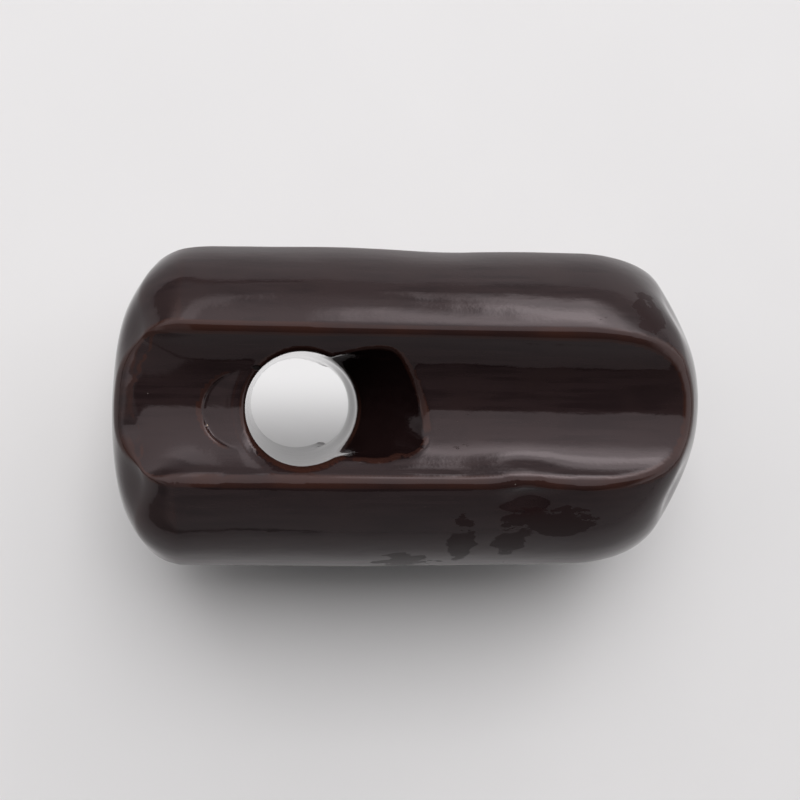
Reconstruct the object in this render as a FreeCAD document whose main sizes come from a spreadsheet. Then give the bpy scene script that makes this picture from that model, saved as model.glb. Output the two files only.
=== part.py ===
"""Guy strain insulator, wet-process porcelain, brown glaze.

The insulator is one vitrified porcelain body under one fused coat of glaze.
Frame: X along the body, +Z up, origin at the middle of the body.  Wire hole A runs along Z near
the -X end and wire hole B along Y near the +X end.  Each hole opens at both mouths into a saddle,
where the guy wire bends into a channel that runs towards the far end, so the two wire loops
interlock and the porcelain between the holes carries the pull in compression.
The -X end has the flat firing face, the only place with no glaze.
"""
import FreeCAD, Part
import math
import os

import Sketcher

DOC = FreeCAD.newDocument("guy_strain_insulator")

# Driving dimensions in millimetres and degrees.
DIMENSIONS = {
    "body_length": 140.0,
    "body_diameter": 84.0,
    "face_radius": 15.0,           # flat firing face
    "shoulder_radius": 42.0,       # arc between the firing face and the side
    "near_corner_radius": 16.0,    # rounding between the shoulder and the side
    "dome_radius": 67.0,           # +X end
    "far_corner_radius": 24.0,     # rounding between the dome and the side
    "channel_floor": 30.5,         # from the body's axis to a channel's lowest line
    "channel_radius": 23.0,        # arc of a channel's section
    "ridge_radius": 2.5,           # rounding of the ridges beside a channel
    "hole_diameter": 25.0,
    "hole_spacing": 53.0,
    "saddle_start": 13.2,          "saddle_width": 24.6,          # the wire's way through the saddle
    "saddle_bend": 26.3,           # radius of the wire's bend, at the middle of the wire
    "saddle_start_angle": 10.0,    # slope of the wire's line, away from the hole's line
    "saddle_end_angle": 46.0,
    "saddle_exit": 24.0,           # straight run after the bend, out past the channel's floor
    "mouth_rounding": 1.0,         # of the glaze, where a hole or a saddle meets the channel
    "glaze_thickness": 0.4,
    "bare_radius": 18.0,           # wiped clean of glaze on the firing face
    "wipe_depth": 4.0,
}


def make_sheet():
    """The spreadsheet that every size is bound to."""
    sheet = DOC.addObject("Spreadsheet::Sheet", "Dims")
    for row, (alias, value) in enumerate(DIMENSIONS.items(), start=1):
        sheet.set(f"A{row}", alias)
        sheet.set(f"B{row}", str(value))
        sheet.setAlias(f"B{row}", alias)
    DOC.recompute()
    return sheet


SHEET = make_sheet()


def size(alias):
    """A driving dimension's present value."""
    return float(SHEET.get(alias))


def origin_part(body, role):
    """The body's own origin plane or axis with that role."""
    return next(f for f in body.Origin.OriginFeatures if f.Role == role)


def new_sketch(body, name, plane):
    sketch = body.newObject("Sketcher::SketchObject", name)
    sketch.AttachmentSupport = [(origin_part(body, plane), "")]
    sketch.MapMode = "FlatFace"
    return sketch


def hold(sketch, formula, *constraint):
    """Adds a constraint whose value follows a formula of the sheet's cells."""
    index = sketch.addConstraint(Sketcher.Constraint(*constraint))
    sketch.setExpression(f"Constraints[{index}]", formula)


def point(x, y):
    return FreeCAD.Vector(x, y, 0)


def arc(centre, radius, start_deg, end_deg):
    """Arc of a circle in a sketch, counter-clockwise from start to end."""
    circle = Part.Circle(centre, FreeCAD.Vector(0, 0, 1), radius)
    return Part.ArcOfCircle(circle, math.radians(start_deg), math.radians(end_deg))


def edges_where(shape, wanted):
    """Names of the shape's edges for which wanted(edge, faces beside it) is true."""
    names = []
    for number, edge in enumerate(shape.Edges, start=1):
        faces = shape.ancestorsOfType(edge, Part.Face)
        if wanted(edge, faces):
            names.append(f"Edge{number}")
    return names


def turned_blank(body, inset):
    """The blank without channels or holes, turned about X.  inset is the depth below the glaze."""
    t = size("glaze_thickness") if inset else 0.0
    less = " - Dims.glaze_thickness" if inset else ""
    half = size("body_length") / 2 - t
    side = size("body_diameter") / 2 - t
    face = size("face_radius")
    shoulder = size("shoulder_radius") - t
    dome = size("dome_radius") - t
    shoulder_x = -half + shoulder
    dome_x = half - dome
    shoulder_end = 180 - math.degrees(math.asin((side - face) / shoulder))
    dome_end = math.degrees(math.asin(side / dome))
    side_near = shoulder_x + shoulder * math.cos(math.radians(shoulder_end))
    side_far = dome_x + dome * math.cos(math.radians(dome_end))

    sketch = new_sketch(body, f"{body.Name}_profile", "XZ_Plane")
    sketch.addGeometry(
        [
            Part.LineSegment(point(-half, 0), point(-half, face)),
            arc(point(shoulder_x, face), shoulder, shoulder_end, 180),
            Part.LineSegment(point(side_near, side), point(side_far, side)),
            arc(point(dome_x, 0), dome, 0, dome_end),
            Part.LineSegment(point(half, 0), point(-half, 0)),
        ],
        False,
    )
    firing_face, shoulder_arc, side_line, dome_arc, axis_line = range(5)
    start, end, centre = 1, 2, 3
    corners = (
        (firing_face, end, shoulder_arc, end),
        (shoulder_arc, start, side_line, start),
        (side_line, end, dome_arc, end),
        (dome_arc, start, axis_line, start),
        (axis_line, end, firing_face, start),
    )
    for corner in corners:
        sketch.addConstraint(Sketcher.Constraint("Coincident", *corner))
    sketch.addConstraint(Sketcher.Constraint("Vertical", firing_face))
    sketch.addConstraint(Sketcher.Constraint("Horizontal", side_line))
    sketch.addConstraint(Sketcher.Constraint("PointOnObject", axis_line, start, -1))
    sketch.addConstraint(Sketcher.Constraint("PointOnObject", axis_line, end, -1))
    sketch.addConstraint(Sketcher.Constraint("PointOnObject", dome_arc, centre, -1))
    sketch.addConstraint(Sketcher.Constraint("Horizontal", shoulder_arc, centre, firing_face, end))
    half_length = f"Dims.body_length / 2{less}"
    hold(sketch, half_length, "DistanceX", axis_line, end, -1, start, half)
    hold(sketch, half_length, "DistanceX", -1, start, axis_line, start, half)
    hold(sketch, "Dims.face_radius", "DistanceY", firing_face, start, firing_face, end, face)
    hold(sketch, f"Dims.body_diameter / 2{less}", "DistanceY", -1, start, side_line, start, side)
    hold(sketch, f"Dims.shoulder_radius{less}", "Radius", shoulder_arc, shoulder)
    hold(sketch, f"Dims.dome_radius{less}", "Radius", dome_arc, dome)

    turned = body.newObject("PartDesign::Revolution", f"{body.Name}_blank")
    turned.Profile = sketch
    turned.ReferenceAxis = (origin_part(body, "X_Axis"), [""])
    turned.Angle = 360
    DOC.recompute()
    return turned


def round_corner(body, base, name, at_firing_end, radius_formula):
    """Rounds the circle where an end meets the side."""
    side = max(v.Point.z for v in base.Shape.Vertexes)

    def is_corner(edge, _faces):
        if edge.Degenerated or edge.Curve.TypeId != "Part::GeomCircle":
            return False
        on_side = abs(edge.Curve.Radius - side) < 1e-3
        return on_side and (edge.Curve.Center.x < 0) == at_firing_end

    fillet = body.newObject("PartDesign::Fillet", f"{body.Name}_{name}")
    fillet.Base = (base, edges_where(base.Shape, is_corner))
    fillet.setExpression("Radius", radius_formula)
    DOC.recompute()
    return fillet


def cut_channels(body, less, more):
    """Four channels along the body, a quarter turn apart, with rounded ridges."""
    sketch = new_sketch(body, f"{body.Name}_channel_section", "YZ_Plane")
    centre_height = size("channel_floor") + size("channel_radius")
    circle = Part.Circle(point(0, centre_height), FreeCAD.Vector(0, 0, 1), size("channel_radius"))
    sketch.addGeometry(circle, False)
    sketch.addConstraint(Sketcher.Constraint("PointOnObject", 0, 3, -2))
    hold(sketch, "Dims.channel_floor + Dims.channel_radius",
         "DistanceY", -1, 1, 0, 3, centre_height)
    hold(sketch, f"Dims.channel_radius{more}", "Radius", 0, size("channel_radius"))
    pocket = body.newObject("PartDesign::Pocket", f"{body.Name}_channel")
    pocket.Profile = sketch
    pocket.Type = "ThroughAll"
    pocket.Midplane = True
    DOC.recompute()

    around = body.newObject("PartDesign::PolarPattern", f"{body.Name}_channels")
    around.Originals = [pocket]
    around.Axis = (origin_part(body, "X_Axis"), [""])
    around.Angle = 360
    around.Occurrences = 4
    body.Tip = around
    DOC.recompute()

    wall_radius = sketch.Geometry[0].Radius

    def is_ridge(_edge, faces):
        walls = [
            face for face in faces
            if face.Surface.TypeId == "Part::GeomCylinder"
            and abs(face.Surface.Radius - wall_radius) < 1e-3
        ]
        return len(walls) == 1

    ridges = body.newObject("PartDesign::Fillet", f"{body.Name}_ridges")
    ridges.Base = (around, edges_where(around.Shape, is_ridge))
    ridges.setExpression("Radius", f"Dims.ridge_radius{less}")
    DOC.recompute()
    return ridges


def bore_hole(body, letter, plane, at_end, more):
    """A wire hole straight through the body, square to the plane, on the -X or +X side."""
    sketch = new_sketch(body, f"{body.Name}_hole_{letter}_circle", plane)
    reach = size("hole_spacing") / 2
    circle = Part.Circle(point(at_end * reach, 0), FreeCAD.Vector(0, 0, 1), size("hole_diameter") / 2)
    sketch.addGeometry(circle, False)
    sketch.addConstraint(Sketcher.Constraint("PointOnObject", 0, 3, -1))
    ends = (0, 3, -1, 1) if at_end < 0 else (-1, 1, 0, 3)
    hold(sketch, "Dims.hole_spacing / 2", "DistanceX", *ends, reach)
    hold(sketch, f"Dims.hole_diameter / 2{more}", "Radius", 0, size("hole_diameter") / 2)
    pocket = body.newObject("PartDesign::Pocket", f"{body.Name}_hole_{letter}")
    pocket.Profile = sketch
    pocket.Type = "ThroughAll"
    pocket.Midplane = True
    DOC.recompute()
    return pocket


def saddle_cutter(name, at_end, side, across, more):
    """The wire's way out of a hole: a round tool swept along the wire's line.

    at_end is -1 for hole A and +1 for hole B, side is which mouth, and across is the hole's axis.
    The line starts inside the hole, bends towards the far end and runs out through the channel.
    """
    along = FreeCAD.Vector(-at_end, 0, 0)
    out = across * side
    bend = size("saddle_bend")
    first = math.radians(size("saddle_start_angle"))
    last = math.radians(size("saddle_end_angle"))
    middle = (first + last) / 2
    start = FreeCAD.Vector(at_end * size("hole_spacing") / 2, 0, 0) + out * size("saddle_start")
    centre = start + along * (bend * math.cos(first)) - out * (bend * math.sin(first))

    def on_bend(angle):
        return centre - along * (bend * math.cos(angle)) + out * (bend * math.sin(angle))

    heading = along * math.sin(last) + out * math.cos(last)
    curve = Part.Arc(start, on_bend(middle), on_bend(last)).toShape()
    run = Part.LineSegment(on_bend(last), on_bend(last) + heading * size("saddle_exit")).toShape()
    line = Part.Wire([curve, run])
    radius = size("saddle_width") / 2 + (size("glaze_thickness") if more else 0.0)
    opening = along * math.sin(first) + out * math.cos(first)
    ring = Part.Wire([Part.Circle(start, opening, radius).toShape()])
    cutter = DOC.addObject("Part::Feature", name)
    cutter.Shape = line.makePipeShell([ring], True, False)
    return cutter


def insulator_solid(name, inset):
    """The whole shape as a solid: the glazed outside, or, inset, the porcelain below the glaze."""
    less = " - Dims.glaze_thickness" if inset else ""
    more = " + Dims.glaze_thickness" if inset else ""
    body = DOC.addObject("PartDesign::Body", f"{name}_blank_body")
    shape = turned_blank(body, inset)
    shape = round_corner(body, shape, "near_corner", True, f"Dims.near_corner_radius{less}")
    shape = round_corner(body, shape, "far_corner", False, f"Dims.far_corner_radius{less}")
    cut_channels(body, less, more)
    bore_hole(body, "a", "XY_Plane", -1, more)
    bore_hole(body, "b", "XZ_Plane", 1, more)
    up, aside = FreeCAD.Vector(0, 0, 1), FreeCAD.Vector(0, 1, 0)
    whole = body
    for letter, at_end, across in (("a", -1, up), ("b", 1, aside)):
        for side in (1, -1):
            mouth = f"{name}_saddle_{letter}_{'front' if side > 0 else 'back'}"
            cut = DOC.addObject("Part::Cut", f"{mouth}_cut")
            cut.Base = whole
            cut.Tool = saddle_cutter(mouth, at_end, side, across, more)
            whole = cut
            DOC.recompute()
    return whole


def round_mouths(name, whole):
    """Rounds the rim of every mouth, where the hole and its saddle open into the channel."""
    wall = size("channel_radius")
    hole = size("hole_diameter") / 2
    saddle = size("saddle_width") / 2

    def is_rim(edge, faces):
        if edge.Degenerated or len(faces) != 2:
            return False
        radii = sorted(
            round(face.Surface.Radius, 3) for face in faces
            if face.Surface.TypeId == "Part::GeomCylinder"
        )
        return radii in (sorted((hole, wall)), sorted((saddle, wall)), sorted((hole, saddle)))

    rounding = size("mouth_rounding")
    rims = [int(edge[4:]) for edge in edges_where(whole.Shape, is_rim)]
    fillet = DOC.addObject("Part::Fillet", f"{name}_mouths")
    fillet.Base = whole
    fillet.Edges = [(rim, rounding, rounding) for rim in rims]
    DOC.recompute()
    return fillet


def make_parts():
    porcelain = insulator_solid("porcelain", True)
    outside = round_mouths("outside", insulator_solid("outside", False))
    porcelain.Label = "porcelain_core"

    coat = DOC.addObject("Part::Cut", "coat")
    coat.Base = outside
    coat.Tool = porcelain
    wipe = DOC.addObject("Part::Cylinder", "wiped_face")
    wipe.setExpression("Radius", "Dims.bare_radius")
    wipe.setExpression("Height", "Dims.wipe_depth")
    wipe.Placement.Rotation = FreeCAD.Rotation(FreeCAD.Vector(0, 1, 0), 90)
    wipe.setExpression("Placement.Base.x", "-Dims.body_length / 2 - Dims.wipe_depth / 2")
    glaze = DOC.addObject("Part::Cut", "glaze")
    glaze.Base = coat
    glaze.Tool = wipe
    glaze.Label = "glaze_coat"
    DOC.recompute()
    return [porcelain, glaze]


def check_document():
    for item in DOC.Objects:
        if {"Invalid", "Error"} & set(item.State):
            raise RuntimeError(f"{item.Label} is {item.State}")


def export(parts):
    os.makedirs("parts", exist_ok=True)
    for part in parts:
        shape = part.Shape
        if shape.isNull() or not shape.isValid():
            raise RuntimeError(f"{part.Label} has no valid shape")
        print(part.Label, "solids", len(shape.Solids), "faces", len(shape.Faces),
              "volume_cm3", round(shape.Volume / 1000, 2))
        shape.exportStep(f"parts/{part.Label}.step")


PARTS = make_parts()
check_document()
export(PARTS)
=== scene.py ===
"""Looks of the guy strain insulator: a hand-finished porcelain body under a glossy brown glaze."""

import math

import bmesh
import bpy
import numpy as np
from mathutils import Matrix, Vector


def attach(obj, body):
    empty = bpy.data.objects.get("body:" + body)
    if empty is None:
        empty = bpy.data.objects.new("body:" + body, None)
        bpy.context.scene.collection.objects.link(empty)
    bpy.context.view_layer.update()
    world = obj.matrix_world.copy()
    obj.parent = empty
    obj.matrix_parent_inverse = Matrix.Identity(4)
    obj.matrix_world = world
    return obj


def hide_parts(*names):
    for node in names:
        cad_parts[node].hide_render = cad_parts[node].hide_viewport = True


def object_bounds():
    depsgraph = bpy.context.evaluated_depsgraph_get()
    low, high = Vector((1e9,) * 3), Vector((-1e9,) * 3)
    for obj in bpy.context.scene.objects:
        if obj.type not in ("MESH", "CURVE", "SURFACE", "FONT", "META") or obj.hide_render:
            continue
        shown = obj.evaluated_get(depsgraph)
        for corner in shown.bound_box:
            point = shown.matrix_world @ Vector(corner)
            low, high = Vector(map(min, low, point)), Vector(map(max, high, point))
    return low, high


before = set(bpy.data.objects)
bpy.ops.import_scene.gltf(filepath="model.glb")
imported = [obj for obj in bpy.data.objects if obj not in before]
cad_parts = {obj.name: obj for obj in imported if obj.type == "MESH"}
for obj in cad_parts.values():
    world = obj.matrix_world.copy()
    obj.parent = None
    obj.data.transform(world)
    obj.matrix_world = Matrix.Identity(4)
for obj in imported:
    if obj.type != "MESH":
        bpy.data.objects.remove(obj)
CAD_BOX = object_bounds()

MM = 0.001

# The shape, in millimetres in the part's frame.  The dome, the channels and the saddles' width and slope
# follow the piece in the photograph, a little away from the CAD model.
LOW, HIGH = (np.array(corner) / MM for corner in CAD_BOX)
HALF_LENGTH = (HIGH[0] - LOW[0]) / 2
LOBE_RADIUS = 42.0
FACE_RADIUS = 15.0
SHOULDER_RADIUS = 42.0
DOME_RADIUS = 55.0
DOME_REACH = 2.6
CHANNEL_FLOOR = 30.8
CHANNEL_RADIUS = 23.7
HOLE_RADIUS = 12.5
HOLE_REACH = 26.5
SADDLE_RADIUS = 11.4
SADDLE_BEND = 26.3
SADDLE_BEND_HEIGHT = 8.6
SADDLE_SLOPE = math.radians(42)
GLAZE = 0.45
BARE_RADIUS = 18.0
BARE_EDGE = 0.2

# Roundings of the glazed edges.
NEAR_CORNER = 5.7
FAR_CORNER = 8.8
RIDGE = 1.8
WORN_RIDGE = 2.8
WORN_SPAN = (50, 58)
RIM = 1.2
LIP = 0.65

# The hand work.  The domed end leans one way and the firing end the other, and wire hole A tilts a little and
# is drawn wider towards its saddle.  A span says where a change starts and where it is complete.
FAR_LEAN = 0.00045
NEAR_LEAN = -0.0003
NEAR_TRIM = 0.6
NEAR_TRIM_SPAN = (30, 60)
HOLE_TILT = 0.02
HOLE_TILT_HEIGHT = 15.0
HOLE_FLARE = 0.9
HOLE_FLARE_SPAN = (0, 13)
SADDLE_FLARE = 1.05
SADDLE_FLARE_SPAN = (10, 20)
SADDLE_WANDER = 1.1
SADDLE_WANDER_SPAN = (2, 12)
SADDLE_DRIFT = 3.4
SADDLE_DRIFT_SPAN = (20, 29)
SADDLE_START_DEPTH = 1.6
SADDLE_START_TURN = 0.3
SADDLE_END = 15.8
CHANNEL_TIGHTS = (1.10, 1.045, 1.045, 1.045)
CHANNEL_SHIFTS = (0.83, -0.5, 0.4, -0.6)
CHANNEL_SLANTS = (-0.0115, 0.006, 0.0, 0.005)

# The trimmed ledge at the firing end of each channel: how far it reaches from the end, how steeply it falls,
# and the waves of its edge: each one's height, its rate and phase across the channel, and how much the phase
# turns from one channel to the next.
LEDGE = 3.4
LEDGE_FALL = 0.36
LEDGE_WAVES = ((0.8, 0.35, 3.6, 2), (0.15, 1.1, 0.0, 3))

# Unevenness of the whole surface: how high, how long its waves are, and the seed of their random headings.
RIPPLES = ((0.10, 55, 3), (0.035, 17, 8), (0.010, 7, 21))
RIPPLE_WAVES = 7

# Dents and swellings left by handling the wet clay, in millimetres: where, how far each reaches along X and
# across X, and how deep it is.  A negative depth is a swelling.
HANDWORK = (
    ((-17, 39, 8), (11, 15), -0.45),
    ((9, 40, 8), (9, 15), 0.5),
    ((0, 38, 13), (200, 14), 0.8),
    ((0, -38, 13), (200, 14), 0.7),
    ((-52, -38, 13), (30, 14), 0.75),
    ((-61, 36, 12), (8, 11), 2.2),
    ((62, 25.5, 23), (10, 9), 1.8),
    ((62, -20, 24), (9, 8), 1.8),
    ((-54, 24, 31), (5, 5), 0.35),
    ((-50, 19, 34), (4, 4), -0.25),
    ((22, -14.6, 35.8), (8, 4.2), -0.7),
    ((23, -19, 37), (5, 3.0), 1.8),
    ((19.5, -20.6, 36), (2.0, 0.9), 0.25),
    ((24.5, -20.2, 36), (1.6, 1.2), -0.22),
    ((-63, 17, 35), (7, 7.5), 3.2),
    ((-63, -17, 35), (8, 8), 3.7),
    ((-63, 17, -35), (6, 6), 1.4),
    ((-63, -35, 17), (6, 6), 1.2),
    ((-63, -4, 31), (2.5, 3), 0.4),
    ((-8, 17, 37), (14, 5), 0.25),
    ((34, 17, 37), (16, 5), -0.2),
    ((-38, -17, -37), (12, 6), 0.35),
    ((12, 16, -37), (10, 6), -0.35),
    ((30, 36, -17), (9, 7), 0.4),
    ((-20, -36, -17), (11, 7), 0.35),
)

# The crescent that a tool left in the channel floor beside wire hole A: it lies inside one circle and outside
# another, both given by their middles in X and Y and their radii.
CRESCENT_OUTER = (-39.7, -0.5, 8.4)
CRESCENT_INNER = (-29.3, -0.6, 13.9)
CRESCENT_DEPTH = 1.0
CRESCENT_FALL = 4.6
CRESCENT_EDGE = 0.45

# The low collar that is raised round part of wire hole A's upper mouth, on its -X side.
COLLAR_RADIUS = 14.9
COLLAR_WIDTH = 0.9
COLLAR_HEIGHT = 0.16
COLLAR_SPAN = (5, 13)
COLLAR_SKEW = 0.3

# How finely the pieces are divided, in millimetres, and how sharp a bend gets a finer mesh.
GLAZE_VOXEL = 1.0
PORCELAIN_VOXEL = 1.3
BEND_STEP = 0.8
SHARP_BEND = 0.16

# Where the painted shade on the walls of the holes and saddles fades out, by the depth inside them.
HOLLOW_SHADE_SPAN = (-1.6, -0.2)

# Dull stains on the glaze, and places where it is scuffed: middle and reach in millimetres.
STAINS = (
    ((-1, -34, 19), (13, 5, 8)),
    ((10, -30, 28), (4.5, 12, 12)),
    ((29, -25, 33), (14, 6, 7)),
    ((21, -30, 28), (5, 8, 9)),
    ((28, -38, 8), (9, 3, 5)),
    ((52, 22, 32), (6, 8, 9)),
    ((-34, 36, -17), (9, 7, 7)),
    ((20, -22, -35), (10, 6, 6)),
)
SCUFFS = (
    ((8, -6, 31.5), (8, 9, 4)),
    ((10, -15, 36), (7, 3, 4)),
    ((42, 20, 36), (9, 4, 4)),
    ((-30, -20, -36), (9, 4, 4)),
    ((30, 18, -37), (9, 4, 4)),
)

# One deeper pit in the channel floor, near the crescent, with its shade painted black: middle and reach.
BIG_PIT = ((-36.0, 8.8, 32.2), (1.1, 0.5, 1.5))

# Colours of the glaze.
STREAK_BROWN = (0.0130, 0.0074, 0.0078)
BODY_BROWN = (0.0205, 0.0122, 0.0126)
CLOUD_BROWN = (0.0205, 0.0118, 0.0118)
# Painted shade for the walls of the wire holes and saddles.
HOLLOW_SHADE_BROWN = (0.0050, 0.0020, 0.0020)
RUSTY_BROWN = (0.034, 0.0135, 0.0100)
STAIN_BROWN = (0.0165, 0.0080, 0.0082)
SCUFF_GREY = (0.060, 0.046, 0.046)
# Painted shade for the pits.
PIT_SHADE_BLACK = (0.002, 0.001, 0.001)
SPECK_WHITE = (0.25, 0.22, 0.2)
MIRROR_TINT = (1, 0.87, 0.90, 1)

# Colours of the bare porcelain.
DULL_WHITE = (0.50, 0.44, 0.35)
CLEAN_WHITE = (0.62, 0.57, 0.49)
GRIT_BROWN = (0.30, 0.24, 0.17)
IRON_SPOT = (0.10, 0.07, 0.05)
GLAZE_RUN = (0.20, 0.10, 0.05)

# The card under the object: its colours near the object and far away, and the grey that it turns to where the
# glaze mirrors it.  The spans are distances in millimetres, and the card's size is in metres.
CARD_GREY = (0.80, 0.79, 0.795)
CARD_WHITE = (0.84, 0.83, 0.835)
CARD_FAR = (0.93, 0.92, 0.925)
CARD_FAR_SPAN = (400, 2500)
CARD_MIRRORED = (0.10, 0.10, 0.10)
MIRRORED_SHARE = 0.45
MIRRORED_SPAN = (60, 190)
CARD_SIZE = 6

# How bright the windows are beside the ceiling, how dark the person is against it, and how much less of the
# -Y side's light reaches matt surfaces.
ROOM_TINT = (1.0, 0.985, 0.985, 1)
WINDOW_LIGHT = 1.7
PANE_LIGHT = 1.6
SIDE_LIGHT = 0.6
PERSON_DARK = 0.95
MATT_SHADE = 0.88
BACKDROP_LIGHT = 0.85

# The lights, in metres and watts, apart from the hole light's margin and fade, which are in millimetres.
KEY_DIRECTION = (-0.04, 0.54, 1)
KEY_DISTANCE = 1.5
KEY_WIDTH = 1.0
KEY_DEPTH = 0.9
KEY_ENERGY = 13.2
HOLE_LIGHT_HEIGHT = 1.5
HOLE_LIGHT_SIZE = 0.002
HOLE_LIGHT_MARGIN = 4
HOLE_LIGHT_BLEND = 0.15
HOLE_LIGHT_ENERGY = 92
HOLE_LIGHT_FADE = (-16, 9)
HOLE_LIGHT_LOW = 0.28

# The camera, in metres, millimetres of lens and radians of roll.
CAMERA_PLACE = (-0.0278, 0.0054, 0.2603)
CAMERA_FORWARD = (0.102, -0.015, -1)
CAMERA_ROLL = -0.006
CAMERA_SENSOR = 36
CAMERA_LENS = 46.5


# ---------------------------------------------------------------- shape

def ease(t, start, end):
    """Goes smoothly from 0 at start to 1 at end."""
    t = np.clip((t - start) / (end - start), 0, 1)
    return t * t * (3 - 2 * t)


def bump(t):
    """A smooth hump, 1 at t = 0, that has died away by about t = 2."""
    return np.exp(-t * t)


def round_max(a, b, radius):
    """The higher of two fields, with the corner between their surfaces rounded."""
    corner = np.hypot(np.maximum(a + radius, 0), np.maximum(b + radius, 0))
    return np.minimum(np.maximum(a, b), -radius) + corner


def ripple(p, length, seed):
    """Smooth unevenness between about -1 and 1, with waves about that many millimetres long."""
    chance = np.random.RandomState(seed)
    total = 0
    for _ in range(RIPPLE_WAVES):
        heading = chance.normal(size=3)
        heading /= np.linalg.norm(heading)
        total = total + np.sin(p @ heading * (2 * np.pi / (length * chance.uniform(0.7, 1.4)))
                               + chance.uniform(0, 2 * np.pi))
    return total / (RIPPLE_WAVES / 2)


def blank_field(x, r):
    """The turned blank: flat firing face and shoulder at -X, straight side, dome at +X."""
    shoulder_x = -HALF_LENGTH + SHOULDER_RADIUS
    dome_x = HALF_LENGTH + DOME_REACH - DOME_RADIUS
    shoulder = np.hypot(np.minimum(x - shoulder_x, 0), r - FACE_RADIUS) - SHOULDER_RADIUS
    near = np.where(r < FACE_RADIUS, -HALF_LENGTH - x, shoulder)
    far = np.hypot(np.maximum(x - dome_x, 0), r) - DOME_RADIUS
    side = r - LOBE_RADIUS
    return round_max(round_max(side, near, NEAR_CORNER), far, FAR_CORNER)


def groove_field(across, height):
    """Positive inside a channel whose floor is nearest the axis."""
    return CHANNEL_RADIUS - np.hypot(across, height - CHANNEL_FLOOR - CHANNEL_RADIUS)


def ledge_depth(x, across, height, channel):
    """How much deeper a channel gets past the wavy line where it was trimmed by hand, near its -X end."""
    from_middle = np.hypot(x + HALF_LENGTH - SHOULDER_RADIUS, np.hypot(across, height) - FACE_RADIUS)
    to_end = SHOULDER_RADIUS - np.where(x < SHOULDER_RADIUS - HALF_LENGTH, from_middle, 0)
    wave = sum(high * np.sin(rate * across + phase + turn * channel)
               for high, rate, phase, turn in LEDGE_WAVES)
    return LEDGE_FALL * np.maximum(LEDGE + wave - to_end, 0)


def saddle_field(along, height, across, side):
    """Positive inside the wire's way from a hole, over the saddle and out.  The way wanders to one side."""
    wander = SADDLE_WANDER * ease(along, *SADDLE_WANDER_SPAN) - SADDLE_DRIFT * ease(along, *SADDLE_DRIFT_SPAN)
    across = across - side * wander
    from_centre = along - SADDLE_BEND, height - SADDLE_BEND_HEIGHT
    turn = np.arctan2(from_centre[1], -from_centre[0])
    on_bend = np.abs(np.hypot(*from_centre) - SADDLE_BEND)
    end = (SADDLE_BEND * (1 - math.cos(SADDLE_SLOPE)),
           SADDLE_BEND_HEIGHT + SADDLE_BEND * math.sin(SADDLE_SLOPE))
    on_run = np.abs((along - end[0]) * math.cos(SADDLE_SLOPE)
                    - (height - end[1]) * math.sin(SADDLE_SLOPE))
    away = np.where(turn > SADDLE_SLOPE, on_run, on_bend)
    radius = SADDLE_RADIUS + SADDLE_FLARE * ease(along, *SADDLE_FLARE_SPAN)
    inside = radius - np.maximum(np.hypot(away, across), np.hypot(np.maximum(along - SADDLE_END, 0), across))
    start = SADDLE_START_DEPTH * (1 - ease(turn, 0, SADDLE_START_TURN))
    return np.where(turn < 0, -SADDLE_RADIUS, inside - start)


def saddle_ways(x, y, z):
    """What saddle_field takes for each saddle: along, height, across, and the side that it wanders to."""
    return ((x + HOLE_REACH, z, y, 1), (x + HOLE_REACH, -z, y, -1),
            (HOLE_REACH - x, y, z, -1), (HOLE_REACH - x, -y, z, 1))


def crescent_depth(x, y):
    """How deep the tool's crescent is: a facet that falls away from the hole to a crisp outer edge."""
    outer_x, outer_y, outer_radius = CRESCENT_OUTER
    inner_x, inner_y, inner_radius = CRESCENT_INNER
    past_inner = np.hypot(x - inner_x, y - inner_y) - inner_radius
    inside_outer = outer_radius - np.hypot(x - outer_x, y - outer_y)
    fall = np.clip(past_inner / CRESCENT_FALL, 0, 1)
    return CRESCENT_DEPTH * fall * ease(inside_outer, 0, CRESCENT_EDGE)


def hand_work(p):
    """How far the hand-finished surface lies below the true one."""
    x, y, z = p.T
    depth = sum(high * ripple(p, length, seed) for high, length, seed in RIPPLES)
    for (at_x, at_y, at_z), (reach_x, reach_across), dent in HANDWORK:
        off_axis = np.hypot(y - at_y, z - at_z)
        depth = depth + dent * bump((x - at_x) / reach_x) * bump(off_axis / reach_across)
    from_hole = np.hypot(x + HOLE_REACH, y)
    raised_side = ease(-x - HOLE_REACH - COLLAR_SKEW * y, *COLLAR_SPAN) * (z > 0)
    depth = depth - COLLAR_HEIGHT * bump((from_hole - COLLAR_RADIUS) / COLLAR_WIDTH) * raised_side
    return depth + crescent_depth(x, y) * (z > 0)


def straightened(x, y):
    """The X that a point would have if neither end leaned and the near end weren't trimmed."""
    lean = np.where(x > 0, FAR_LEAN, NEAR_LEAN)
    return x / (1 + lean * y) - NEAR_TRIM * ease(-x, *NEAR_TRIM_SPAN)


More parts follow.
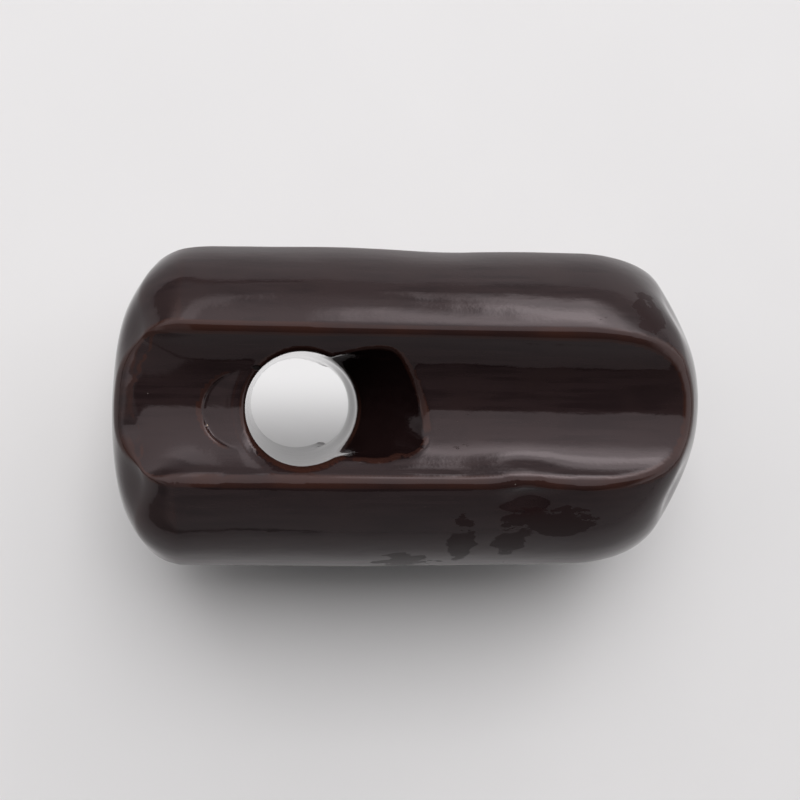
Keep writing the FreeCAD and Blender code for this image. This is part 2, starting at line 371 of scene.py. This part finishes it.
def body_field(p):
    """Distance outside the glazed insulator, in millimetres, for points in rows."""
    x, y, z = p.T
    straight_x = straightened(x, y)
    field = blank_field(straight_x, np.hypot(y, z))
    ridge = RIDGE + (WORN_RIDGE - RIDGE) * ease(-straight_x, *WORN_SPAN)
    for channel, (across, height) in enumerate(((y, z), (y, -z), (z, y), (z, -y))):
        middle = CHANNEL_SHIFTS[channel] + CHANNEL_SLANTS[channel] * x
        groove = groove_field(CHANNEL_TIGHTS[channel] * (across - middle), height)
        groove = groove + ledge_depth(straight_x, across, height, channel)
        field = round_max(field, groove, ridge)
    field = field + hand_work(p)
    from_hole = x + HOLE_REACH - HOLE_TILT * (z - HOLE_TILT_HEIGHT)
    from_hole = from_hole - HOLE_FLARE * ease(np.abs(z), *HOLE_FLARE_SPAN) * ease(from_hole, 0, HOLE_RADIUS)
    hole_a = HOLE_RADIUS - np.hypot(from_hole, y)
    hole_b = HOLE_RADIUS - np.hypot(x - HOLE_REACH, z)
    field = round_max(field, hole_a, RIM)
    field = round_max(field, hole_b, RIM)
    for way in saddle_ways(x, y, z):
        field = round_max(field, saddle_field(*way), LIP)
    return field


def hollow_shade_at(p):
    """Where shade is painted: 1 on the walls of the wire holes and saddles, fading to 0 just outside their
    lips.
    """
    x, y, z = p.T
    inside = np.maximum(HOLE_RADIUS - np.hypot(x + HOLE_REACH, y), HOLE_RADIUS - np.hypot(x - HOLE_REACH, z))
    for way in saddle_ways(x, y, z):
        inside = np.maximum(inside, saddle_field(*way))
    return ease(inside, *HOLLOW_SHADE_SPAN)


def glaze_field(p):
    """The glazed outside, cut back a little below the bare firing face."""
    x, y, z = p.T
    recess = np.minimum(BARE_RADIUS - np.hypot(y, z), -HALF_LENGTH + 2 * GLAZE - straightened(x, y))
    return round_max(body_field(p), recess, BARE_EDGE)


def porcelain_field(p):
    """The porcelain under the glaze."""
    return body_field(p) + GLAZE


def snap(field, p, rounds, step=0.02):
    """Moves points onto the field's zero surface, about a millimetre a round at most."""
    for _ in range(rounds):
        value = field(p)
        slope = np.stack([(field(p + offset) - value) / step for offset in np.eye(3) * step], axis=1)
        p = p - (np.clip(value, -1, 1) / np.maximum((slope ** 2).sum(1), 0.2))[:, None] * slope
    return p


def bend_of(field, p, step=BEND_STEP):
    """How far the surface curves at each point: positive on ridges, negative in hollows."""
    middle = field(p)
    total = sum(field(p + sign * offset) - middle
                for offset in np.eye(3) * step for sign in (1, -1))
    return total / step ** 2


def remeshed(node, voxel, name):
    """A copy of a CAD node's surface, evenly divided."""
    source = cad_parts[node]
    copy = bpy.data.objects.new(name, source.data.copy())
    bpy.context.scene.collection.objects.link(copy)
    remesh = copy.modifiers.new("even", "REMESH")
    remesh.mode = "VOXEL"
    remesh.voxel_size = voxel * MM
    graph = bpy.context.evaluated_depsgraph_get()
    mesh = bpy.data.meshes.new_from_object(copy.evaluated_get(graph), depsgraph=graph)
    bpy.data.objects.remove(copy)
    mesh.name = name
    mesh.materials.clear()
    return mesh


def read_points(mesh):
    flat = np.empty(len(mesh.vertices) * 3)
    mesh.vertices.foreach_get("co", flat)
    return flat.reshape(-1, 3) / MM


def relaxed(mesh, p, field, rounds):
    """Evens the spacing of points, keeping them on the surface."""
    ends = np.empty(len(mesh.edges) * 2, int)
    mesh.edges.foreach_get("vertices", ends)
    ends = ends.reshape(-1, 2)
    count = np.bincount(ends.ravel(), minlength=len(p))[:, None]
    for _ in range(rounds):
        total = np.zeros_like(p)
        for axis in range(3):
            total[:, axis] = (np.bincount(ends[:, 0], p[ends[:, 1], axis], len(p))
                              + np.bincount(ends[:, 1], p[ends[:, 0], axis], len(p)))
        p = snap(field, (p + total / count) / 2, 1)
    return p


def refined(mesh, chosen):
    """Halves the mesh's edges between chosen vertices."""
    work = bmesh.new()
    work.from_mesh(mesh)
    work.verts.ensure_lookup_table()
    edges = [edge for edge in work.edges if all(chosen[vertex.index] for vertex in edge.verts)]
    bmesh.ops.subdivide_edges(work, edges=edges, cuts=1, use_grid_fill=True)
    work.to_mesh(mesh)
    work.free()


def write_points(mesh, p):
    mesh.vertices.foreach_set("co", (p * MM).astype(np.float32).ravel())
    mesh.update()


def surface_piece(name, node, field, voxel, fine=None):
    """A closed piece whose surface is the field's, divided as the CAD node's is and finer where asked."""
    mesh = remeshed(node, voxel, name)
    p = snap(field, read_points(mesh), 3)
    if fine:
        write_points(mesh, p)
        refined(mesh, fine(p))
        p = snap(field, read_points(mesh), 2)
    p = snap(field, relaxed(mesh, p, field, 4), 2)
    write_points(mesh, p)
    mesh.polygons.foreach_set("use_smooth", [True] * len(mesh.polygons))
    piece = bpy.data.objects.new(name, mesh)
    bpy.context.scene.collection.objects.link(piece)
    return piece, p


def glaze_detail(p):
    """Where the glaze needs a finer mesh: on its edges and lips and round the crescent."""
    outer_x, outer_y, outer_radius = CRESCENT_OUTER
    from_crescent = np.hypot(p[:, 0] - outer_x, p[:, 1] - outer_y)
    crescent = (from_crescent < outer_radius + 1) & (p[:, 2] > 0)
    return crescent | (np.abs(bend_of(glaze_field, p)) > SHARP_BEND)


def patches(p, places):
    """1 at the middle of each patch and 0 beyond its reach, for points in rows."""
    total = np.zeros(len(p))
    for middle, reach in places:
        distance = np.sqrt((((p - middle) / reach) ** 2).sum(1))
        total = np.maximum(total, 1 - ease(distance, 0.5, 1.0))
    return total


def add_attribute(mesh, name, values):
    attribute = mesh.attributes.new(name, "FLOAT", "POINT")
    attribute.data.foreach_set("value", np.asarray(values, np.float32))


glaze, glaze_points = surface_piece("glaze_skin", "porcelain_core", glaze_field, GLAZE_VOXEL, glaze_detail)
add_attribute(glaze.data, "bend", bend_of(body_field, glaze_points))
add_attribute(glaze.data, "hollow_shade", hollow_shade_at(glaze_points))
add_attribute(glaze.data, "stain", patches(glaze_points, STAINS))
add_attribute(glaze.data, "scuff", patches(glaze_points, SCUFFS))
porcelain, porcelain_points = surface_piece("porcelain_body", "porcelain_core", porcelain_field,
                                            PORCELAIN_VOXEL)
add_attribute(porcelain.data, "from_axis", np.hypot(porcelain_points[:, 1], porcelain_points[:, 2]))


# ---------------------------------------------------------------- materials

class Formula:
    """Builds values and colours out of shader nodes, one call at a time."""

    def __init__(self, tree):
        self.nodes, self.links = tree.nodes, tree.links

    def put(self, socket, value):
        """Links a socket to another node's output, or sets it."""
        if isinstance(value, bpy.types.NodeSocket):
            self.links.new(value, socket)
        else:
            socket.default_value = value

    def math(self, operation, *values):
        node = self.nodes.new("ShaderNodeMath")
        node.operation = operation
        for socket, value in zip(node.inputs, values):
            self.put(socket, value)
        return node.outputs[0]

    def ramp(self, value, start, end, low=0.0, high=1.0):
        """Goes smoothly from low at start to high at end, and stays there."""
        node = self.nodes.new("ShaderNodeMapRange")
        node.interpolation_type = "SMOOTHSTEP"
        if start > end:
            start, end, low, high = end, start, high, low
        for name, number in (("From Min", start), ("From Max", end), ("To Min", low), ("To Max", high)):
            node.inputs[name].default_value = number
        self.put(node.inputs["Value"], value)
        return node.outputs["Result"]

    def band(self, value, rise, fall):
        """1 between two soft edges, each given by the values at its outer and inner side."""
        return self.product(self.ramp(value, *rise), self.ramp(value, *fall))

    def product(self, *values):
        result = values[0]
        for value in values[1:]:
            result = self.math("MULTIPLY", result, value)
        return result

    def total(self, *values):
        result = values[0]
        for value in values[1:]:
            result = self.math("ADD", result, value)
        return result

    def without(self, value):
        """1 less a value."""
        return self.math("SUBTRACT", 1.0, value)

    def highest(self, *values):
        result = values[0]
        for value in values[1:]:
            result = self.math("MAXIMUM", result, value)
        return result

    def place(self, scale=(1, 1, 1)):
        """The point on the object in millimetres, with each axis scaled."""
        point = self.nodes.new("ShaderNodeTexCoord").outputs["Object"]
        node = self.nodes.new("ShaderNodeVectorMath")
        node.operation = "MULTIPLY"
        self.put(node.inputs[0], point)
        node.inputs[1].default_value = [factor / MM for factor in scale]
        return node.outputs[0]

    def noise(self, size, detail=2.0, scale=(1, 1, 1), rough=0.5):
        """Noise between 0 and 1 with lumps about that many millimetres across."""
        node = self.nodes.new("ShaderNodeTexNoise")
        self.put(node.inputs["Vector"], self.place(scale))
        node.inputs["Scale"].default_value = 1 / size
        node.inputs["Detail"].default_value = detail
        node.inputs["Roughness"].default_value = rough
        return node.outputs["Fac"]

    def dots(self, spacing, radius, share):
        """Round dots of that radius on a share of the cells of a random net, all in millimetres."""
        node = self.nodes.new("ShaderNodeTexVoronoi")
        self.put(node.inputs["Vector"], self.place())
        node.inputs["Scale"].default_value = 1 / spacing
        kept = self.math("LESS_THAN", self.channel(node.outputs["Color"]), share)
        dot = self.ramp(node.outputs["Distance"], radius / spacing, 0.6 * radius / spacing)
        return self.product(dot, kept)

    def length(self, vector):
        node = self.nodes.new("ShaderNodeVectorMath")
        node.operation = "LENGTH"
        self.put(node.inputs[0], vector)
        return node.outputs["Value"]

    def channel(self, colour):
        node = self.nodes.new("ShaderNodeSeparateColor")
        self.put(node.inputs[0], colour)
        return node.outputs[0]

    def near(self, middle, reach, soft=0.3):
        """1 within an ellipsoid round a point in millimetres, fading to 0 just outside it."""
        node = self.nodes.new("ShaderNodeVectorMath")
        node.operation = "DISTANCE"
        scale = [1 / size for size in reach]
        self.put(node.inputs[0], self.place(scale))
        node.inputs[1].default_value = [part * factor for part, factor in zip(middle, scale)]
        return self.ramp(node.outputs["Value"], 1 + soft, 1 - soft)

    def ray(self, kind):
        """1 for that kind of ray."""
        return self.nodes.new("ShaderNodeLightPath").outputs[kind]

    def attribute(self, name):
        node = self.nodes.new("ShaderNodeAttribute")
        node.attribute_name = name
        return node.outputs["Fac"]

    def blend(self, factor, low, high):
        """A colour between two others."""
        node = self.nodes.new("ShaderNodeMix")
        node.data_type = "RGBA"
        self.put(node.inputs["Factor"], factor)
        for socket, colour in ((node.inputs[6], low), (node.inputs[7], high)):
            self.put(socket, colour if isinstance(colour, bpy.types.NodeSocket) else (*colour, 1))
        return node.outputs[2]

    def bumps(self, height, distance, strength=1.0, under=None):
        """A normal for that height in millimetres, over another normal if one is given."""
        node = self.nodes.new("ShaderNodeBump")
        node.inputs["Strength"].default_value = strength
        node.inputs["Distance"].default_value = distance * MM
        self.put(node.inputs["Height"], height)
        if under:
            self.put(node.inputs["Normal"], under)
        return node.outputs["Normal"]


def new_material(name):
    material = bpy.data.materials.new(name)
    material.use_nodes = True
    return Formula(material.node_tree), material, material.node_tree.nodes["Principled BSDF"].inputs


def glaze_material():
    """Glossy brown glaze: thin and rusty on edges, streaked along the body, pricked, scuffed and stained."""
    f, material, shader = new_material("brown_glaze")
    streaks = f.noise(1.6, 3, (0.08, 1, 1))
    clouds = f.noise(14, 3)
    body = f.blend(f.ramp(streaks, 0.35, 0.65), STREAK_BROWN, BODY_BROWN)
    body = f.blend(f.ramp(clouds, 0.4, 0.7), body, CLOUD_BROWN)
    # Painted shade: the walls of the holes and saddles are darkened towards near black.
    body = f.blend(f.product(f.attribute("hollow_shade"), 0.75), body, HOLLOW_SHADE_BROWN)
    edge = f.product(f.ramp(f.attribute("bend"), 0.11, 0.36), f.ramp(clouds, 0.3, 0.65, 0.35, 1))
    colour = f.blend(edge, body, RUSTY_BROWN)

    torn = f.ramp(f.noise(6, 6, (0.7, 1.4, 1.4), 0.66), 0.34, 0.66)
    stain = f.ramp(f.total(f.attribute("stain"), f.product(torn, 0.95)), 1.12, 1.18)
    colour = f.blend(stain, colour, STAIN_BROWN)

    scraped = f.ramp(f.noise(1.5, 5, (0.45, 1, 1), 0.7), 0.5, 0.72)
    scuff = f.ramp(f.total(f.attribute("scuff"), scraped), 1.45, 1.75)
    colour = f.blend(f.product(scuff, 0.6), colour, SCUFF_GREY)

    pits = f.highest(f.dots(7, 0.22, 0.22), f.near(*BIG_PIT))
    # Painted shade: the pits are coloured black.
    colour = f.blend(pits, colour, PIT_SHADE_BLACK)
    colour = f.blend(f.product(f.dots(6, 0.15, 0.5), 0.7), colour, SPECK_WHITE)
    f.put(shader["Base Color"], colour)

    clean = f.ramp(clouds, 0.3, 0.7, 0.05, 0.085)
    rough = f.highest(clean, f.product(stain, 0.3), f.product(scuff, 0.42), f.product(pits, 0.6))
    f.put(shader["Roughness"], rough)
    f.put(shader["Specular IOR Level"], f.math("SUBTRACT", 0.5, f.product(stain, 0.32)))
    shader["IOR"].default_value = 1.5
    shader["Specular Tint"].default_value = MIRROR_TINT

    skin = f.total(f.noise(0.9, 2), f.product(f.noise(2.2, 2, (0.12, 1, 1)), 2.0))
    swell = f.noise(6, 2, (0.6, 1, 1))
    dips = f.without(f.total(pits, f.product(scuff, 0.3)))
    f.put(shader["Normal"], f.bumps(dips, 0.12, 1.0, f.bumps(skin, 0.009, 1.0, f.bumps(swell, 0.06))))
    return material


def porcelain_material():
    """Bare fired porcelain: off-white and matt, gritty where it stood in the kiln, brown where glaze ran."""
    f, material, shader = new_material("bare_porcelain")
    clouds = f.noise(9, 4)
    grit = f.noise(0.7, 4)
    colour = f.blend(f.ramp(clouds, 0.3, 0.7), DULL_WHITE, CLEAN_WHITE)
    colour = f.blend(f.product(f.ramp(grit, 0.5, 0.75), 0.35), colour, GRIT_BROWN)
    colour = f.blend(f.dots(2.6, 0.2, 0.35), colour, IRON_SPOT)
    toward_glaze = f.ramp(f.attribute("from_axis"), 13, 18)
    runs = f.ramp(f.total(f.product(toward_glaze, 0.5), f.noise(5, 4)), 0.75, 1.0)
    colour = f.blend(f.product(runs, 0.6), colour, GLAZE_RUN)
    f.put(shader["Base Color"], colour)
    f.put(shader["Roughness"], f.ramp(clouds, 0.3, 0.7, 0.72, 0.88))
    f.put(shader["Normal"], f.bumps(grit, 0.06, 1.0, f.bumps(clouds, 0.15)))
    return material


glaze.data.materials.append(glaze_material())
porcelain.data.materials.append(porcelain_material())
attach(glaze, "root")
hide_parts("glaze_coat")
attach(porcelain, "root")
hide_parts("porcelain_core")


# ---------------------------------------------------------------- stage

FLOOR_Z = glaze_points[:, 2].min() * MM


def rectangle(name, width, height, matrix):
    mesh = bpy.data.meshes.new(name)
    corners = [(sx * width / 2, sy * height / 2, 0) for sx, sy in ((-1, -1), (1, -1), (1, 1), (-1, 1))]
    mesh.from_pydata(corners, [], [(0, 1, 2, 3)])
    card = bpy.data.objects.new(name, mesh)
    card.matrix_world = matrix
    bpy.context.scene.collection.objects.link(card)
    return card


def floor_material():
    """A sheet of white card.  What the glaze mirrors of it gets dimmer away from the object, as in a room."""
    f, material, shader = new_material("floor_white")
    away = f.length(f.place())
    near = f.blend(f.noise(60, 3), CARD_GREY, CARD_WHITE)
    colour = f.blend(f.ramp(away, *CARD_FAR_SPAN), near, CARD_FAR)
    mirrored = f.product(f.ray("Is Glossy Ray"), f.ramp(away, *MIRRORED_SPAN), MIRRORED_SHARE)
    f.put(shader["Base Color"], f.blend(mirrored, colour, CARD_MIRRORED))
    shader["Roughness"].default_value = 0.6
    shader["Specular IOR Level"].default_value = 0.2
    return material


floor = rectangle("floor", CARD_SIZE, CARD_SIZE, Matrix.Translation((0, 0, FLOOR_Z)))
floor.data.materials.append(floor_material())


def studio_world():
    """A bright ceiling and three windows on the +Y side, a dim wall on the -Y side, and the dark shape of
    whoever holds the camera overhead, with a dark gap below it.  Angles are in degrees from straight up,
    towards +Y and towards +X."""
    world = bpy.data.worlds.new("studio")
    world.use_nodes = True
    f = Formula(world.node_tree)
    parts = f.nodes.new("ShaderNodeSeparateXYZ")
    f.put(parts.inputs[0], f.nodes.new("ShaderNodeTexCoord").outputs["Generated"])
    x, y, z = parts.outputs
    to_y = f.math("DEGREES", f.math("ARCTAN2", y, z))
    to_x = f.math("DEGREES", f.math("ARCTAN2", x, z))

    ceiling = f.product(f.ramp(to_y, -52, -49), f.ramp(to_y, 5, 50, 0.85, 1.1), f.ramp(to_y, 56, 84, 1, 0.36))
    wall = f.product(f.ramp(to_y, -49, -52), f.ramp(to_y, -56, -84, 0.25, 0.33))
    over_top = f.math("SUBTRACT", to_y, f.ramp(to_x, 16, 40, 62, 78))
    window = f.product(f.ramp(to_y, 42, 60), f.ramp(over_top, 6, -3), f.band(to_x, (0, 13), (72, 50)))
    pane = f.product(f.band(to_y, (58, 64), (74, 69)), f.band(to_x, (20, 32), (50, 38)))
    side = f.product(f.band(to_y, (40, 58), (80, 74)), f.band(to_x, (-42, -30), (-8, -14)))
    windows = f.total(f.product(window, WINDOW_LIGHT), f.product(pane, PANE_LIGHT),
                      f.product(side, SIDE_LIGHT))

    across_person = f.product(f.band(to_x, (-75, -55), (60, 40)), f.ramp(to_x, -17, -11, 0.72, 1))
    person = f.product(f.band(to_y, (-50.5, -50), (7, 4)), across_person, PERSON_DARK)
    gap = f.product(f.band(to_y, (-53.5, -53), (-50, -50.5)), across_person)
    far_side = f.ramp(to_x, -84, -60, 0.4, 1)
    matt = f.product(f.ray("Is Diffuse Ray"), f.ramp(to_y, 14, -24, 0, MATT_SHADE))
    light = f.product(f.total(ceiling, wall, windows), f.without(person), f.without(gap), far_side,
                      f.without(matt))

    strength = f.nodes.new("ShaderNodeMix")
    f.put(strength.inputs["Factor"], f.ray("Is Camera Ray"))
    f.put(strength.inputs["A"], light)
    strength.inputs["B"].default_value = BACKDROP_LIGHT
    background = f.nodes["Background"]
    background.inputs["Color"].default_value = ROOM_TINT
    f.put(background.inputs["Strength"], strength.outputs["Result"])
    bpy.context.scene.world = world


def add_light(name, kind, matrix, energy, **settings):
    data = bpy.data.lights.new(name, kind)
    data.energy = energy
    for setting, value in settings.items():
        setattr(data, setting, value)
    light = bpy.data.objects.new(name, data)
    light.matrix_world = matrix
    bpy.context.scene.collection.objects.link(light)
    return light


def key_light():
    """A broad soft light from above the +Y side, which the glaze doesn't mirror."""
    direction = Vector(KEY_DIRECTION).normalized()
    turn = direction.to_track_quat("Z", "Y").to_matrix().to_4x4()
    light = add_light("key", "AREA", Matrix.Translation(direction * KEY_DISTANCE) @ turn, KEY_ENERGY,
                      shape="RECTANGLE", size=KEY_WIDTH, size_y=KEY_DEPTH)
    light.visible_glossy = False


def hole_light():
    """Light on the floor under wire hole A, which fades towards -Y.  It reaches the floor only."""
    above_floor = HOLE_LIGHT_HEIGHT - FLOOR_Z
    reach = (HOLE_RADIUS + HOLE_LIGHT_MARGIN) * MM
    place = Matrix.Translation((-HOLE_REACH * MM, 0, HOLE_LIGHT_HEIGHT))
    light = add_light("hole_light", "SPOT", place, HOLE_LIGHT_ENERGY, shadow_soft_size=HOLE_LIGHT_SIZE,
                      spot_size=2 * math.atan(reach / above_floor), spot_blend=HOLE_LIGHT_BLEND,
                      use_nodes=True)
    f = Formula(light.data.node_tree)
    parts = f.nodes.new("ShaderNodeSeparateXYZ")
    f.put(parts.inputs[0], f.nodes.new("ShaderNodeTexCoord").outputs["Normal"])
    on_floor = f.product(f.math("DIVIDE", parts.outputs[1], parts.outputs[2]), -above_floor / MM)
    f.put(f.nodes["Emission"].inputs["Strength"], f.ramp(on_floor, *HOLE_LIGHT_FADE, HOLE_LIGHT_LOW, 1))
    only_floor = bpy.data.collections.new("only_floor")
    only_floor.objects.link(floor)
    light.light_linking.receiver_collection = only_floor
    light.light_linking.blocker_collection = only_floor


studio_world()
key_light()
hole_light()
bpy.context.scene.view_settings.view_transform = "Standard"


# ---------------------------------------------------------------- camera

def make_camera():
    """Held by hand about 26 cm above the part's axis, left of its middle, looking almost straight down."""
    forward = Vector(CAMERA_FORWARD).normalized()
    right = Vector((1, 0, 0))
    right = (right - right.dot(forward) * forward).normalized()
    down = forward.cross(right)
    cosine, sine = math.cos(CAMERA_ROLL), math.sin(CAMERA_ROLL)
    right, down = cosine * right + sine * down, cosine * down - sine * right
    turn = Matrix((right, -down, -forward)).transposed().to_4x4()
    data = bpy.data.cameras.new("camera")
    data.sensor_width = CAMERA_SENSOR
    data.lens = CAMERA_LENS
    data.clip_start = 0.01
    camera = bpy.data.objects.new("camera", data)
    camera.matrix_world = Matrix.Translation(CAMERA_PLACE) @ turn
    bpy.context.scene.collection.objects.link(camera)
    bpy.context.scene.camera = camera


make_camera()
